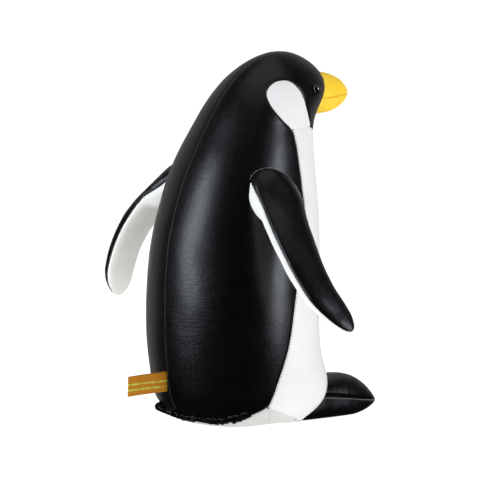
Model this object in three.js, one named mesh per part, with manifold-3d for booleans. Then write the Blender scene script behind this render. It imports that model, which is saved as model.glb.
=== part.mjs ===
// A stuffed leatherette penguin, 270 mm tall: a black and white sewn skin over fibre filling, with a
// bag of iron pellets in its base. Millimetres; X runs to the penguin's left, Y to its back, Z up.
// The origin is under the middle of the penguin, on the surface that it stands on.
import * as THREE from 'three';
import { mergeVertices } from 'three/addons/utils/BufferGeometryUtils.js';
import Module from 'manifold-3d';

const wasm = await Module();
wasm.setup();

// ---- Driving dimensions ----
const HEIGHT = 270;
const DOME_START = 222; // above this the head closes into a dome
const SKIN = 1.6; // leatherette with its woven backing
const GAP = 0.4; // clearance between pieces that touch
const SEAM = 0.4; // width of a seam line between two panels
const THREAD = 0.8;
const BEAK_TIP = -100; // foremost point
const LABEL_END = 100; // rearmost point

// Level sections of the body: height, middle (y), half depth, half width, and how much deeper the
// front half of an egg-shaped section is than its back half.
const BODY_SECTIONS = [
  [0, 0.5, 44, 50, 0],
  [10, 3, 55, 57.5, 0],
  [30, 5, 62, 63.5, 0],
  [60, 7.5, 62, 66.5, 0],
  [100, 7.5, 62, 66.5, 0],
  [140, 4.5, 60.5, 62, 0],
  [175, 0, 54.5, 56.5, 0],
  [205, -5.5, 47, 48.5, 0.04],
  [230, -13.5, 42.7, 41, 0.12],
  [250, -25, 46, 38, 0.13],
  [270, -34, 46, 27, 0.1],
];

// Seam lines of the skin in side view, each point (y, z).
const BELLY_EDGE = [
  [-12.5, 215.6], [-13.8, 211], [-13.9, 195], [-14.1, 174], [-14.5, 158], [-9.4, 132],
  [1.5, 94], [7.3, 62], [14.6, 36.5], [20.2, 15.7],
];
const CHEEK_EDGE = [
  [-12.5, 215.6], [-6.2, 221.5], [-1.6, 227.8], [0.8, 234.8], [-0.2, 241.6], [-5.2, 246.8],
  [-12.4, 250], [-20.5, 249.8], [-26.3, 244.2], [-29.6, 237], [-32.5, 229], [-35.8, 221], [-38.5, 215.6],
];
const NECKLINE = [[-12.5, 215.6], [-38.5, 215.6], [-45, 212.5], [-51, 208], [-54.5, 204], [-60, 197]];
const BASE_EDGE = [[90, 2.6], [45, 3.5], [32, 8], [20.2, 15.7]];
const BASE_RIM = 2.1; // height of the seam between the walls and the bottom panel
const GUSSET_BACK = [[20.2, 15.7], [14, BASE_RIM]];
const GUSSET_FRONT = [[20.2, 15.7], [-13.4, BASE_RIM]];

// Wing: a flat pillow that hangs from the shoulder, leaning out from the vertical and turned with its
// front edge outwards. Sections across it: distance from the hinge, middle, half chord, half thickness.
const SHOULDER = { out: 57.2, y: 11, z: 181 };
const WING_LEAN = THREE.MathUtils.degToRad(38.3);
const WING_TURN = THREE.MathUtils.degToRad(12);
const WING_LENGTH = 130;
const WING_SECTIONS = [
  [0, 0, 16.5, 2.2],
  [15, 1.5, 18, 4.4],
  [32, 3.6, 17.6, 6],
  [60, 3.4, 16.4, 6.8],
  [82, 0.6, 15, 6.2],
  [102, -5, 14, 5.2],
  [117, -10.5, 11.5, 3.9],
  [WING_LENGTH, -17.5, 1, 0.9],
];

// Foot: sections from the toe to under the belly: y, middle (x), half width, sole height, top height.
const FOOT_SECTIONS = [
  [-96, 35, 1, 9, 10.5],
  [-92, 34.5, 7.5, 6, 15.5],
  [-83, 33, 14.5, 2.6, 24],
  [-70, 31, 19, 0.6, 30],
  [-55, 30.5, 21, 0.1, 31.3],
  [-38, 31, 20.2, 0, 28.5],
  [-18, 32, 15, 0.3, 18],
];
const FOOT_SEAM = 10.5; // height of the seam between a foot's upper and its sole

// Beak: sections from the tip to inside the face: y, height of its middle, half width, half height.
const BEAK_SECTIONS = [
  [BEAK_TIP, 237, 0.8, 0.8],
  [-96, 237.2, 5.2, 6],
  [-89, 237.5, 9.6, 10.8],
  [-80, 237.5, 13.2, 14],
  [-68, 237.7, 15.8, 15.8],
  [-52, 237.5, 17, 16.3],
];
const BEAK_SEAM = 234.5;

const EYE = { y: -44.4, z: 242.2, radius: 4.1, shank: 1.5 };
const PELLET_BAG = { radius: 36, height: 32, cloth: 0.8 };
const LABEL = { y: 68.9, z: 33.1, height: 14.5, thickness: 1.5, tilt: THREE.MathUtils.degToRad(1.3) };
const RUFFLE = { from: -30, to: 60, waves: 10, stepsPerWave: 5, low: 1.2, high: 6.6, thickness: 1.2 };

const LOOKS = {
  black: { color: 0x17171a, roughness: 0.42, metalness: 0 },
  white: { color: 0xececef, roughness: 0.45, metalness: 0 },
  offWhite: { color: 0xdcd9d0, roughness: 0.55, metalness: 0 },
  yellow: { color: 0xf6c637, roughness: 0.45, metalness: 0 },
  gloss: { color: 0x050505, roughness: 0.08, metalness: 0 },
  plastic: { color: 0xe8e8e4, roughness: 0.5, metalness: 0 },
  fibre: { color: 0xf4f4f0, roughness: 0.95, metalness: 0 },
  cloth: { color: 0xc9c2b2, roughness: 0.9, metalness: 0 },
  iron: { color: 0x4c4a48, roughness: 0.6, metalness: 1 },
  thread: { color: 0xb9b9b4, roughness: 0.8, metalness: 0 },
  label: { color: 0xb28a2c, roughness: 0.85, metalness: 0 },
};

const SIDES = [
  { name: 'right', sign: -1 },
  { name: 'left', sign: 1 },
];

// ---- Geometry helpers ----

// A smooth function through rows whose first value is the position.
function smooth(rows) {
  const size = rows[0].length - 1;
  const positions = rows.map((row) => row[0]);
  const values = rows.flatMap((row) => row.slice(1));
  const curve = new THREE.CubicInterpolant(positions, values, size, new Float64Array(size));
  return (at) => Array.from(curve.evaluate(at));
}

function range(count) {
  return Array.from({ length: count }, (_, i) => i);
}

// The volume inside a closed triangle mesh, negative when its faces point inwards.
function signedVolume(points, triangles) {
  let sum = 0;
  for (let i = 0; i < triangles.length; i += 3) {
    const [a, b, c] = [points[triangles[i]], points[triangles[i + 1]], points[triangles[i + 2]]];
    sum += a.dot(new THREE.Vector3().crossVectors(b, c)) / 6;
  }
  return sum;
}

// A closed body through rings of points; each end is closed by a fan about the ring's middle.
function loft(rings) {
  const around = rings[0].length;
  const points = rings.flat();
  const triangles = [];
  for (let r = 0; r + 1 < rings.length; r += 1) {
    for (let k = 0; k < around; k += 1) {
      const a = r * around + k;
      const b = r * around + ((k + 1) % around);
      triangles.push(a, b, b + around, a, b + around, a + around);
    }
  }
  for (const [first, flip] of [[0, true], [(rings.length - 1) * around, false]]) {
    const middle = new THREE.Vector3();
    range(around).forEach((k) => middle.addScaledVector(points[first + k], 1 / around));
    points.push(middle);
    for (let k = 0; k < around; k += 1) {
      const a = first + k;
      const b = first + ((k + 1) % around);
      triangles.push(points.length - 1, flip ? b : a, flip ? a : b);
    }
  }
  if (signedVolume(points, triangles) < 0) {
    triangles.reverse();
  }
  const geometry = new THREE.BufferGeometry();
  geometry.setAttribute('position', new THREE.Float32BufferAttribute(points.flatMap((p) => p.toArray()), 3));
  geometry.setIndex(triangles);
  return geometry;
}

// A three.js geometry as a solid that can be cut and joined.
function solidOf(geometry) {
  const bare = geometry.clone();
  bare.deleteAttribute('normal');
  bare.deleteAttribute('uv');
  const merged = mergeVertices(bare, 1e-4);
  const index = Array.from(merged.index.array);
  const triangles = [];
  for (let i = 0; i < index.length; i += 3) {
    const [a, b, c] = index.slice(i, i + 3);
    if (a !== b && b !== c && c !== a) {
      triangles.push(a, b, c);
    }
  }
  const mesh = new wasm.Mesh({
    numProp: 3,
    vertProperties: new Float32Array(merged.attributes.position.array),
    triVerts: new Uint32Array(triangles),
  });
  return new wasm.Manifold(mesh);
}

function geometryOf(solid) {
  const mesh = solid.getMesh();
  const geometry = new THREE.BufferGeometry();
  geometry.setAttribute('position', new THREE.BufferAttribute(mesh.vertProperties, 3));
  geometry.setIndex(new THREE.BufferAttribute(mesh.triVerts, 1));
  return geometry;
}

// A shape drawn in side view (y, z), run through the body from side to side.
function sidePrism(shape, width) {
  const geometry = new THREE.ExtrudeGeometry(shape, { depth: width, bevelEnabled: false });
  geometry.translate(0, 0, -width / 2);
  const axes = [new THREE.Vector3(0, 1, 0), new THREE.Vector3(0, 0, 1), new THREE.Vector3(1, 0, 0)];
  geometry.applyMatrix4(new THREE.Matrix4().makeBasis(...axes));
  return geometry;
}

// A flat line of points, moved sideways to its left by a distance.
function shifted(points, distance) {
  const last = points.length - 1;
  return points.map((point, i) => {
    const along = points[Math.min(i + 1, last)].clone().sub(points[Math.max(i - 1, 0)]).normalize();
    return new THREE.Vector2(point.x - along.y * distance, point.y + along.x * distance);
  });
}

// The thin wall that a seam line leaves between two panels, as a solid to cut with. It runs on a
// little past both ends, so that seams which meet there are joined.
function seamWall(line, steps) {
  const curve = new THREE.SplineCurve(line.map(([y, z]) => new THREE.Vector2(y, z)));
  const points = steps ? curve.getPoints(steps) : curve.points;
  const last = points.length - 1;
  points[0].addScaledVector(points[0].clone().sub(points[1]).normalize(), SEAM);
  points[last].addScaledVector(points[last].clone().sub(points[last - 1]).normalize(), SEAM);
  const shape = new THREE.Shape([...shifted(points, SEAM / 2), ...shifted(points, -SEAM / 2).reverse()]);
  return solidOf(sidePrism(shape, 300));
}

// A closed strand of thread along a line of points.
function strand(points, steps) {
  const half = THREAD / 2;
  const square = [[-half, -half], [half, -half], [half, half], [-half, half]];
  const section = new THREE.Shape(square.map(([x, y]) => new THREE.Vector2(x, y)));
  const extrudePath = new THREE.CatmullRomCurve3(points);
  return new THREE.ExtrudeGeometry(section, { steps, extrudePath, bevelEnabled: false });
}

function turned(profile, segments) {
  const points = profile.map(([radius, height]) => new THREE.Vector2(radius, height));
  const geometry = new THREE.LatheGeometry(points, segments);
  return geometry.rotateX(Math.PI / 2);
}

const penguin = new THREE.Group();
penguin.name = 'penguin';

function add(name, geometry, look) {
  const bare = geometry.clone();
  bare.computeVertexNormals();
  const mesh = new THREE.Mesh(bare, new THREE.MeshStandardMaterial({ ...look, flatShading: true }));
  mesh.name = name;
  penguin.add(mesh);
  return mesh;
}

// The two largest pieces of a cut shell, the one that reaches higher first.
function upperAndLower(solid) {
  const height = (piece) => piece.boundingBox().max[2];
  const pieces = solid.decompose().sort((a, b) => b.volume() - a.volume());
  return pieces.slice(0, 2).sort((a, b) => height(b) - height(a));
}

// ---- Body surface ----
const bodySection = smooth(BODY_SECTIONS);

// The half sizes of the level section at a height, of the surface that lies an inset inside the skin.
function sectionAt(z, inset) {
  const [middle, depth, width, egg] = bodySection(z);
  const rise = Math.max(0, (z - DOME_START) / (HEIGHT - inset - DOME_START));
  const closing = Math.sqrt(Math.max(0, 1 - rise * rise));
  const half = (depth - inset) * closing;
  return { middle, back: half * (1 - egg), front: half * (1 + egg), width: (width - inset) * closing };
}

// A point of the body: the angle is 0 at the middle of the back and grows towards the right side.
function bodyPoint(angle, z, inset = 0) {
  const { middle, back, front, width } = sectionAt(z, inset);
  const depth = Math.cos(angle) > 0 ? back : front;
  return new THREE.Vector3(-width * Math.sin(angle), middle + depth * Math.cos(angle), z);
}

// The point on one side of the body that side view shows at (y, z).
function sidePoint(sign, y, z, inset = 0) {
  const { middle, back, front } = sectionAt(z, inset);
  const cosine = (y - middle) / (y > middle ? back : front);
  const angle = Math.acos(THREE.MathUtils.clamp(cosine, -1, 1));
  return bodyPoint(-sign * angle, z, inset);
}

function bodyNormal(sign, y, z) {
  const here = sidePoint(sign, y, z);
  const up = sidePoint(sign, y, z + 0.5).sub(here);
  const back = sidePoint(sign, y + 0.5, z).sub(here);
  return new THREE.Vector3().crossVectors(up, back).multiplyScalar(-sign).normalize();
}

function bodyShape(heights, segments, inset) {
  const turns = range(segments).map((k) => (k / segments) * 2 * Math.PI);
  return loft(heights.map((z) => turns.map((angle) => bodyPoint(angle, z, inset))));
}

const AROUND = 36;
const AROUND_INSIDE = 24;
const FINE_HEIGHTS = [0, 4, 12, 28, 52, 82, 112, 140, 165, 187, 206, 222, 236, 247, 256, 263, 267.5, HEIGHT];
const COARSE_HEIGHTS = [8, 22, 50, 90, 130, 165, 192, 214, 232, 247, 259];

// Heights for a surface that lies an inset inside the skin.
function insetHeights(inset) {
  return [inset, ...COARSE_HEIGHTS, HEIGHT - inset - 1.2, HEIGHT - inset];
}

const bodyOutside = solidOf(bodyShape(FINE_HEIGHTS, AROUND, 0));
const bodyInside = solidOf(bodyShape(insetHeights(SKIN), AROUND_INSIDE, SKIN));
const bodyClear = solidOf(bodyShape([-GAP, ...FINE_HEIGHTS.slice(1, -1), HEIGHT], AROUND, -GAP));

// ---- Eyes: glossy beads with a shank through the skin and a washer behind it ----
const EYE_BEAD = [
  [0, -7], [EYE.shank, -7], [EYE.shank, 0.6], [3.3, 0.6], [EYE.radius, 0.9], [EYE.radius, 1.5],
  [3.6, 1.9], [2.4, 2.5], [1.2, 2.8], [0, 2.9],
];
const EYE_WASHER = [[1.9, -4.9], [5, -4.9], [5, -3.9], [1.9, -3.9], [1.9, -4.9]];
const EYE_POCKET = [[0, -9], [5.6, -9], [5.6, -1.9], [0, -1.9]];
const EYE_HOLE = [[0, -5], [1.9, -5], [1.9, 3], [0, 3]];

function atEye(sign, geometry) {
  const place = sidePoint(sign, EYE.y, EYE.z);
  const normal = bodyNormal(sign, EYE.y, EYE.z);
  const facing = new THREE.Quaternion().setFromUnitVectors(new THREE.Vector3(0, 0, 1), normal);
  return geometry.applyQuaternion(facing).translate(place.x, place.y, place.z);
}

for (const { name, sign } of SIDES) {
  add(`eye_${name}`, atEye(sign, turned(EYE_BEAD, 14)), LOOKS.gloss);
  add(`eye_washer_${name}`, atEye(sign, turned(EYE_WASHER, 12)), LOOKS.plastic);
}

// ---- Skin: one shell, cut along its seams into the panels it is sewn from ----
function wallBehind(points) {
  const shape = new THREE.Shape(points.map(([y, z]) => new THREE.Vector2(y, z)));
  return solidOf(sidePrism(shape, SEAM));
}

const backSeamRegion = [
  [90, 2.6], [45, 3.5], [32, 8], [21, 15.7], [16.5, 37], [9.5, 62], [4, 94], [-11, 165], [-11.5, 195],
  ...NECKLINE, [-90, 197], [-90, 290], [90, 290],
];
let skin = bodyOutside.subtract(bodyInside);
const seams = [
  seamWall(BELLY_EDGE, 24),
  seamWall(CHEEK_EDGE, 28),
  seamWall(NECKLINE),
  seamWall(BASE_EDGE),
  seamWall(GUSSET_BACK),
  seamWall(GUSSET_FRONT),
  seamWall([[14, BASE_RIM], [-90, BASE_RIM]]),
  wallBehind(backSeamRegion),
];
for (const seam of seams) {
  skin = skin.subtract(seam);
}
for (const { sign } of SIDES) {
  skin = skin.subtract(solidOf(atEye(sign, turned(EYE_HOLE, 12))));
}
const panels = skin.decompose();

// The panel that lies nearest to a point of the body.
function panelAt(point) {
  const away = (panel) => {
    const { vertProperties } = panel.getMesh();
    const corners = range(vertProperties.length / 3);
    const corner = new THREE.Vector3();
    return Math.min(...corners.map((i) => corner.fromArray(vertProperties, i * 3).distanceTo(point)));
  };
  const large = panels.filter((panel) => panel.volume() > 30);
  return large.reduce((best, panel) => (away(panel) < away(best) ? panel : best));
}

for (const { name, sign } of SIDES) {
  add(`back_panel_${name}`, geometryOf(panelAt(sidePoint(sign, 30, 125))), LOOKS.black);
  add(`cheek_patch_${name}`, geometryOf(panelAt(sidePoint(sign, -18, 228))), LOOKS.white);
  add(`base_gusset_${name}`, geometryOf(panelAt(sidePoint(sign, 6, 5))), LOOKS.white);
}
add('belly_panel', geometryOf(panelAt(bodyPoint(Math.PI, 125))), LOOKS.white);
add('base_panel', geometryOf(panelAt(new THREE.Vector3(0, 0, 0))), LOOKS.offWhite);

// ---- Filling and the bag of pellets that weighs the base ----
function bagProfile(shrink) {
  const radius = PELLET_BAG.radius - shrink;
  const low = SKIN + GAP + shrink;
  const high = SKIN + GAP + PELLET_BAG.height - shrink;
  return [[0, low], [radius - 8, low], [radius - 2, low + 4], [radius, low + 11], [radius - 4, high - 8],
    [radius - 14, high - 2], [12, high]];
}
const neck = SKIN + GAP + PELLET_BAG.height + 9;
const bagOutside = [...bagProfile(0), [6, neck - 5], [7.5, neck]];
const bagInside = [...bagProfile(PELLET_BAG.cloth), [4.8, neck - 5], [6.3, neck]];
add('pellet_bag', turned([...bagOutside, ...bagInside.reverse()], 16), LOOKS.cloth);
add('iron_pellets', turned([...bagProfile(PELLET_BAG.cloth + GAP), [0, 34]], 16), LOOKS.iron);

const bagRoom = solidOf(turned([[0, -5], ...bagProfile(-GAP).slice(1), [9, neck + 1], [0, neck + 1]], 16));
let filling = solidOf(bodyShape(insetHeights(SKIN + GAP), AROUND_INSIDE, SKIN + GAP)).subtract(bagRoom);
for (const { sign } of SIDES) {
  filling = filling.subtract(solidOf(atEye(sign, turned(EYE_POCKET, 12))));
}
add('body_filling', geometryOf(filling), LOOKS.fibre);

// ---- Wings: black outer panel, white inner panel, a little filling, sewn edge ----
const wingSection = smooth(WING_SECTIONS);

// A point of a wing: along it from the shoulder, across it towards its rear edge, and outwards.
function wingPoint(sign, along, across, outwards) {
  const out = new THREE.Vector3(sign * Math.cos(WING_TURN), Math.sin(WING_TURN), 0);
  const rear = new THREE.Vector3(-sign * Math.sin(WING_TURN), Math.cos(WING_TURN), 0);
  const down = new THREE.Vector3(0, 0, -Math.cos(WING_LEAN)).addScaledVector(out, Math.sin(WING_LEAN));
  const face = new THREE.Vector3(0, 0, Math.sin(WING_LEAN)).addScaledVector(out, Math.cos(WING_LEAN));
  return new THREE.Vector3(sign * SHOULDER.out, SHOULDER.y, SHOULDER.z)
    .addScaledVector(down, along)
    .addScaledVector(rear, across)
    .addScaledVector(face, outwards);
}

function wingShape(sign, distances, around, inset) {
  const rings = distances.map((along) => {
    const [middle, chord, thickness] = wingSection(Math.max(along, 0));
    return range(around).map((k) => {
      const angle = (k / around) * 2 * Math.PI;
      const across = middle + (chord - 2 * inset) * Math.cos(angle);
      return wingPoint(sign, along, across, (thickness - inset) * Math.sin(angle));
    });
  });
  return loft(rings);
}

for (const { name, sign } of SIDES) {
  const outside = solidOf(wingShape(sign, [0, 7, 16, 30, 46, 62, 78, 92, 105, 116, 124, WING_LENGTH], 16, 0));
  const hollow = solidOf(wingShape(sign, [-4, 10, 24, 40, 58, 76, 92, 105, 116], 12, 1.3));
  const halfway = new THREE.BoxGeometry(90, 300, SEAM);
  const across = wingPoint(sign, 0, 1, 0).sub(wingPoint(sign, 0, 0, 0));
  const along = wingPoint(sign, 1, 0, 0).sub(wingPoint(sign, 0, 0, 0));
  const face = new THREE.Vector3().crossVectors(across, along);
  halfway.applyMatrix4(new THREE.Matrix4().makeBasis(across, along, face));
  halfway.translate(sign * SHOULDER.out, SHOULDER.y, SHOULDER.z);
  const [outer, inner] = upperAndLower(outside.subtract(hollow).subtract(solidOf(halfway)));
  add(`wing_outer_${name}`, geometryOf(outer), LOOKS.black);
  add(`wing_inner_${name}`, geometryOf(inner), LOOKS.white);
  const filled = wingShape(sign, [2, 12, 26, 42, 60, 78, 93, 104, 110], 10, 1.3 + GAP);
  add(`wing_filling_${name}`, filled, LOOKS.fibre);

  const edge = (direction) => range(14).map((i) => {
    const distance = 3 + (WING_LENGTH - 3) * (i / 13);
    const [middle, chord] = wingSection(distance);
    return new THREE.Vector2(middle + direction * chord, distance);
  });
  const outline = shifted([...edge(1), ...edge(-1).reverse()], -(THREAD + 3 * GAP));
  const threadPath = outline.map(({ x, y }) => wingPoint(sign, y, x, 0));
  add(`wing_thread_${name}`, strand(threadPath, 34), LOOKS.thread);
}

// ---- Feet: an upper and a sole over a little filling, against the body's lower front ----
const footSection = smooth(FOOT_SECTIONS);

function footShape(sign, stations, around, inset) {
  const rings = stations.map((y) => {
    const [middle, width, low, high] = footSection(y);
    const half = Math.max((high - low) / 2 - inset, 0.3);
    const wide = Math.max(width - inset, 0.3);
    return range(around).map((k) => {
      const angle = ((k + 0.5) / around) * 2 * Math.PI;
      const sine = Math.sin(angle);
      const bulge = sine < 0 ? -Math.sqrt(-sine) : sine;
      return new THREE.Vector3(sign * (middle + wide * Math.cos(angle)), y, (low + high) / 2 + half * bulge);
    });
  });
  return loft(rings);
}

for (const { name, sign } of SIDES) {
  const stations = [-18, -30, -42, -54, -64, -74, -83, -90, -95, -97];
  const outside = solidOf(footShape(sign, stations, 16, 0)).subtract(bodyClear);
  const hollow = solidOf(footShape(sign, stations.slice(0, -1).concat(-95.2), 12, SKIN));
  const seam = solidOf(new THREE.BoxGeometry(400, 400, SEAM).translate(0, 0, FOOT_SEAM));
  const [upper, sole] = upperAndLower(outside.subtract(hollow).subtract(seam));
  add(`foot_upper_${name}`, geometryOf(upper), LOOKS.black);
  add(`foot_sole_${name}`, geometryOf(sole), LOOKS.black);
  const filled = solidOf(footShape(sign, stations.slice(0, -2), 12, SKIN + GAP)).subtract(bodyClear);
  add(`foot_filling_${name}`, geometryOf(filled), LOOKS.fibre);
}

// ---- Beak: an upper and a lower panel over filling, against the face ----
const beakSection = smooth(BEAK_SECTIONS);

function beakShape(stations, around, inset) {
  const rings = stations.map((y) => {
    const [middle, width, half] = beakSection(y);
    return range(around).map((k) => {
      const angle = ((k + 0.5) / around) * 2 * Math.PI;
      const x = Math.max(width - inset, 0.3) * Math.cos(angle);
      return new THREE.Vector3(x, y, middle + Math.max(half - inset, 0.3) * Math.sin(angle));
    });
  });
  return loft(rings);
}

const beakStations = [-52, -62, -71, -79, -86, -92, -97, BEAK_TIP];
const beakOutside = solidOf(beakShape(beakStations, 18, 0)).subtract(bodyClear);
const beakHollow = solidOf(beakShape([-50, -62, -72, -82, -90, -94.5], 14, SKIN));
const beakSeam = solidOf(new THREE.BoxGeometry(200, 400, SEAM).translate(0, 0, BEAK_SEAM));
const [beakUpper, beakLower] = upperAndLower(beakOutside.subtract(beakHollow).subtract(beakSeam));
add('beak_upper', geometryOf(beakUpper), LOOKS.yellow);
add('beak_lower', geometryOf(beakLower), LOOKS.yellow);
const beakFilling = solidOf(beakShape([-52, -62, -72, -82, -90], 14, SKIN + GAP)).subtract(bodyClear);
add('beak_filling', geometryOf(beakFilling), LOOKS.fibre);

// ---- Seam threads that show on the body ----
const clear = -(GAP + THREAD);
for (const { name, sign } of SIDES) {
  const belly = new THREE.SplineCurve(BELLY_EDGE.map(([y, z]) => new THREE.Vector2(y, z)));
  const bellyPath = belly.getPoints(24).map(({ x, y }) => sidePoint(sign, x, y, clear));
  add(`belly_thread_${name}`, strand(bellyPath, 26), LOOKS.thread);
}
const backPath = range(19).map((i) => bodyPoint(0, 45 + ((HEIGHT - 30 - 45) * i) / 18, clear));
add('back_seam_thread', strand(backPath, 24), LOOKS.thread);

// ---- Gathered raw edge of the back panels, over the seam with the base ----
const ruffleSteps = RUFFLE.waves * RUFFLE.stepsPerWave;
const ruffleRings = range(ruffleSteps + 1).map((i) => {
  const part = i / ruffleSteps;
  const angle = THREE.MathUtils.degToRad(RUFFLE.from + (RUFFLE.to - RUFFLE.from) * part);
  const wave = 1.2 + 1.2 * Math.sin(part * RUFFLE.waves * 2 * Math.PI);
  const foot = bodyPoint(angle, RUFFLE.high, -(GAP + 0.5));
  const outwards = new THREE.Vector3(-Math.sin(angle), Math.cos(angle), 0);
  const corner = (reach, z) => foot.clone().addScaledVector(outwards, reach).setZ(z);
  return [
    corner(0, RUFFLE.high),
    corner(wave, RUFFLE.low),
    corner(wave + RUFFLE.thickness, RUFFLE.low),
    corner(RUFFLE.thickness, RUFFLE.high),
  ];
});
add('base_ruffle', loft(ruffleRings), LOOKS.black);

// ---- Folded woven label, sewn into the back seam by its two ends ----
const labelHalf = LABEL.thickness / 2;
const labelReach = (LABEL_END - LABEL.y) / Math.cos(LABEL.tilt) - 0.5;
const labelShape = new THREE.Shape();
labelShape.moveTo(labelHalf, 0);
labelShape.lineTo(labelHalf, labelReach - labelHalf);
labelShape.absarc(0, labelReach - labelHalf, labelHalf, 0, Math.PI, false);
labelShape.lineTo(-labelHalf, 0);
labelShape.lineTo(-0.25, 0);
labelShape.lineTo(-0.25, labelReach - labelHalf);
labelShape.lineTo(0.25, labelReach - labelHalf);
labelShape.lineTo(0.25, 0);
const labelSize = { depth: LABEL.height, bevelEnabled: false, curveSegments: 4 };
const labelBand = new THREE.ExtrudeGeometry(labelShape, labelSize);
labelBand.translate(0, 0, -LABEL.height / 2);
const label = add('label', labelBand, LOOKS.label);
label.position.set(0, LABEL.y, LABEL.z);
label.rotation.x = -LABEL.tilt;

export default penguin;
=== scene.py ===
"""A stuffed leatherette penguin: its sewn panels, wings, feet, beak, eyes, label, seams and filling.

Metres, +Z up. The penguin faces -Y, and its right side is -X.
"""

import math

import bmesh
import bpy
import numpy as np
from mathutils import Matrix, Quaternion, Vector, noise


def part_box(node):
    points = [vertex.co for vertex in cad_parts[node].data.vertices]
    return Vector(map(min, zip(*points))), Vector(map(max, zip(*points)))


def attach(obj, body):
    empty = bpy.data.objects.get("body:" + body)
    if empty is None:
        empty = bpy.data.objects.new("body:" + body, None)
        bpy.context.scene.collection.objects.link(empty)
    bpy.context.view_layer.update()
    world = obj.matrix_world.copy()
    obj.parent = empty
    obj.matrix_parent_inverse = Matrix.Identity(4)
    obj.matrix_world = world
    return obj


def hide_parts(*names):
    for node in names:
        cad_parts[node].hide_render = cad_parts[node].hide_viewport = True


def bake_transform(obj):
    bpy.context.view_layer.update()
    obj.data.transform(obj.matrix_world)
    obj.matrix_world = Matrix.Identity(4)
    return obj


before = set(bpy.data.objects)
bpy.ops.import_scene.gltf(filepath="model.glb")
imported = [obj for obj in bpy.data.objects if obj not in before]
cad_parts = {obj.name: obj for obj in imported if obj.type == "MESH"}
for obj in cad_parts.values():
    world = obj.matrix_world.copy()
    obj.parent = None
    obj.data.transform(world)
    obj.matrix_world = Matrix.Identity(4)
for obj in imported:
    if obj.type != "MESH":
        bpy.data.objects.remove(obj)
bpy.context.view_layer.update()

SIDES = {"right": -1, "left": 1}
TAU = 2 * math.pi

# ---- Driving dimensions, as in the CAD part ----
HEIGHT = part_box("back_panel_right")[1].z
DOME_START = 0.222
# Thickness of the leatherette on the body, and on the wings, feet and beak.
SKIN, THIN_SKIN = 0.0012, 0.0011
# The skins rest this far above the floor.
CLEAR_OF_FLOOR = 0.00005
STITCH_PITCH = 0.0022
# How far beside their seams the belly's and the cheeks' threads run.
THREAD_ASIDE = 0.0007

# Level sections of the body: height, middle (y), half depth, half width, egg shape.
BODY_SECTIONS = [
    (0, 0.0005, 0.044, 0.050, 0),
    (0.010, 0.003, 0.055, 0.0575, 0),
    (0.030, 0.005, 0.062, 0.0635, 0),
    (0.060, 0.0075, 0.062, 0.0665, 0),
    (0.100, 0.0075, 0.062, 0.0665, 0),
    (0.140, 0.0045, 0.0605, 0.062, 0),
    (0.175, 0, 0.0545, 0.0565, 0),
    (0.205, -0.0055, 0.047, 0.0485, 0.04),
    (0.230, -0.0135, 0.0427, 0.041, 0.12),
    (0.250, -0.025, 0.046, 0.038, 0.13),
    (0.270, -0.034, 0.046, 0.027, 0.10),
]

# Seam lines in side view (y, z).
BELLY_EDGE = [
    (-0.0125, 0.2156), (-0.0138, 0.211), (-0.0139, 0.195), (-0.0141, 0.174), (-0.0145, 0.158),
    (-0.0094, 0.132), (0.0015, 0.094), (0.0073, 0.062), (0.0146, 0.0365), (0.0202, 0.0157),
]
CHEEK_EDGE = [
    (-0.0125, 0.2156), (-0.0062, 0.2215), (-0.0016, 0.2278), (0.0008, 0.2348), (-0.0002, 0.2416),
    (-0.0052, 0.2468), (-0.0124, 0.2500), (-0.0205, 0.2498), (-0.0263, 0.2442), (-0.0296, 0.237),
    (-0.0325, 0.229), (-0.0358, 0.221), (-0.0385, 0.2156),
]
CHEEK_BOTTOM = [(-0.0385, 0.2156), (-0.0125, 0.2156)]
THROAT_EDGE = [(-0.0385, 0.2156), (-0.045, 0.2125), (-0.051, 0.208), (-0.0545, 0.204), (-0.060, 0.197)]
BASE_EDGE = [(0.090, 0.0026), (0.045, 0.0035), (0.032, 0.008), (0.0202, 0.0157)]
BASE_RIM = 0.0021
GUSSET_BACK = [(0.0202, 0.0157), (0.014, BASE_RIM)]
GUSSET_FRONT = [(0.0202, 0.0157), (-0.0134, BASE_RIM)]

# Places where the filling pushes the skin out, on both sides: x, y, z, how far, over what reach.
SWELLS = [
    (0.050, -0.030, 0.025, 0.0058, 0.018),
    (0.031, -0.055, 0.028, 0.0048, 0.018),
    (0.020, -0.060, 0.240, 0.0034, 0.018),
]

# Where each gusset's seam draws the base up: x, y, how far, its reach along the floor and its reach upwards.
GUSSET_PULL = (0.048, 0.006, 0.0022, 0.022, 0.006)

# Wing sections: distance along, middle, half chord, half thickness outwards and inwards, lift of the middle.
SHOULDER = (0.0572, 0.011, 0.181)
WING_LEAN = math.radians(38.3)
WING_TURN = math.radians(12)
WING_TIP, WING_ROUNDING = 0.1255, 0.094
WING_SECTIONS = [
    (-0.013, 0.0005, 0.0170, 0.0062, 0.0070, -0.0066),
    (-0.004, 0.0005, 0.0178, 0.0066, 0.0085, -0.0064),
    (0.012, 0.0015, 0.0182, 0.0070, 0.0095, -0.0050),
    (0.032, 0.0035, 0.0172, 0.0072, 0.0082, -0.0026),
    (0.054, 0.0036, 0.0162, 0.0074, 0.0072, -0.0006),
    (0.076, 0.0017, 0.0147, 0.0070, 0.0068, 0),
    (0.094, -0.0026, 0.0143, 0.0062, 0.0062, 0),
    (0.109, -0.0088, 0.0145, 0.0054, 0.0054, 0),
    (0.1255, -0.0168, 0.0140, 0.0044, 0.0044, 0),
]
# Turns round a wing's section (degrees) of its seams, from the root to the tip. The wings were stuffed by
# hand: the white inner panel wraps round the right one's rear edge, and the black panel round the left one's.
REAR_SEAMS = {"right": (24, 24, 23, 22), "left": (18, -10, -13, -6)}
FRONT_SEAM = (184, 178, 172, 168)
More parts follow.
